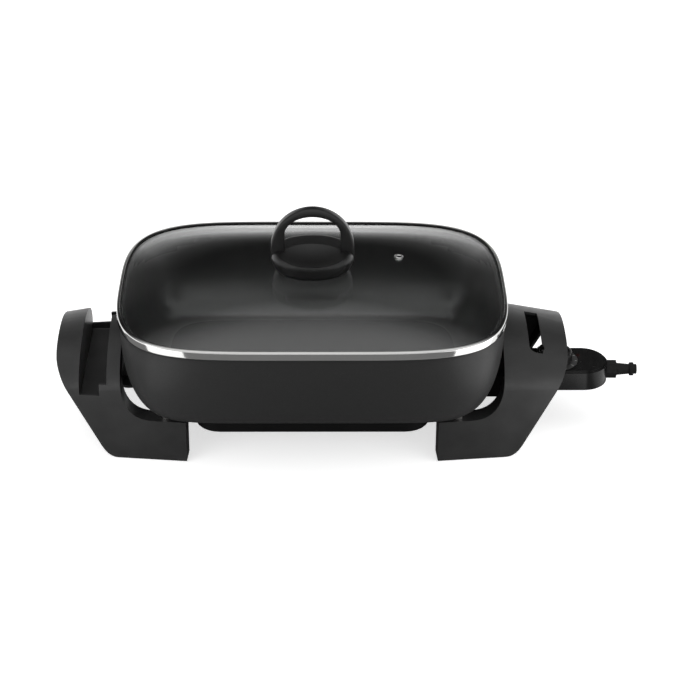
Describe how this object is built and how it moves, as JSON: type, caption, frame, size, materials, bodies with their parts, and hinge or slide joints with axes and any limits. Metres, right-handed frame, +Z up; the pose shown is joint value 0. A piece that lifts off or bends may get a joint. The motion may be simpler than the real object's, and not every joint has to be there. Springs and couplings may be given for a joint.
{
  "type": "electric skillet",
  "caption": "Rectangular non-stick electric skillet on two arched leg handles, with a lift-off domed glass lid and a plug-in temperature control probe.",
  "frame": {"origin": "on the counter, under the middle of the pan", "axes": "+X towards the control probe, +Y towards the back, +Z up"},
  "size_m": [0.6193, 0.3028, 0.2527],
  "materials": {
    "nonstick_aluminium": "cast, with a dark satin non-stick coat",
    "element_steel": "heat-dulled sheath",
    "cover_plastic": "satin, heat resistant",
    "handle_plastic": "satin phenolic",
    "knob_plastic": "satin phenolic",
    "control_plastic": "semi gloss",
    "dial_plastic": "satin with a printed scale",
    "dial_plate_grey": "printed plate",
    "tempered_glass": "clear, polished",
    "stainless_rim": "bright rolled",
    "seal_rubber": "silicone",
    "foot_rubber": "soft matte",
    "relief_rubber": "moulded",
    "zinc_screws": "zinc plated",
    "spacer_steel": "turned",
    "tube_aluminium": "drawn",
    "probe_steel": "polished",
    "contact_brass": "plated",
    "bimetal": "rolled strip",
    "ceramic": "unglazed ceramic",
    "lamp_red": "clear red lens",
    "lamp_glass": "lamp bulb"
  },
  "bodies": {
    "pan_unit": {"pan": "nonstick_aluminium", "heating_element": "element_steel", "element_cover": "cover_plastic", "cover_screws": "zinc_screws", "terminal_pins": "contact_brass", "pin_insulators": "ceramic", "sensor_tube": "tube_aluminium", "terminal_shroud": "cover_plastic", "shroud_screws": "zinc_screws", "left_leg_handle": "handle_plastic", "right_leg_handle": "handle_plastic", "lid_rest_tray": "handle_plastic", "leg_spacers": "spacer_steel", "leg_screws": "zinc_screws", "handle_screws": "zinc_screws", "rubber_feet": "foot_rubber"},
    "lid": {"lid_glass": "tempered_glass", "lid_rim": "stainless_rim", "lid_seal": "seal_rubber", "vent_eyelet": "stainless_rim", "knob_base": "knob_plastic", "knob_loop": "knob_plastic", "knob_gasket": "seal_rubber", "knob_washer": "stainless_rim", "knob_screw": "zinc_screws"},
    "control": {"control_upper_shell": "control_plastic", "control_lower_shell": "control_plastic", "control_screws": "zinc_screws", "sensor_rod": "probe_steel", "contact_sleeves": "contact_brass", "thermostat_frame": "ceramic", "bimetal_blade": "bimetal", "contact_arm": "contact_brass", "lamp_lens": "lamp_red", "neon_lamp": "lamp_glass", "dial_plate": "dial_plate_grey", "cord_clamp": "spacer_steel", "clamp_screws": "zinc_screws", "strain_relief": "relief_rubber"},
    "dial": {"temperature_dial": "dial_plastic", "dial_spindle": "probe_steel"}
  },
  "joints": [
    {"name": "lid_lift", "type": "slide", "parent": "pan_unit", "child": "lid", "axis": [0, 0, 1], "range_m": [0, 0.15]},
    {"name": "control_unplug", "type": "slide", "parent": "pan_unit", "child": "control", "axis": [1, 0, 0], "range_m": [0, 0.14]},
    {"name": "dial_turn", "type": "hinge", "parent": "control", "child": "dial", "pos_m": [0.26, 0, 0.0725], "axis": [0, 0, 1], "range_deg": [-270, 0]}
  ]
}
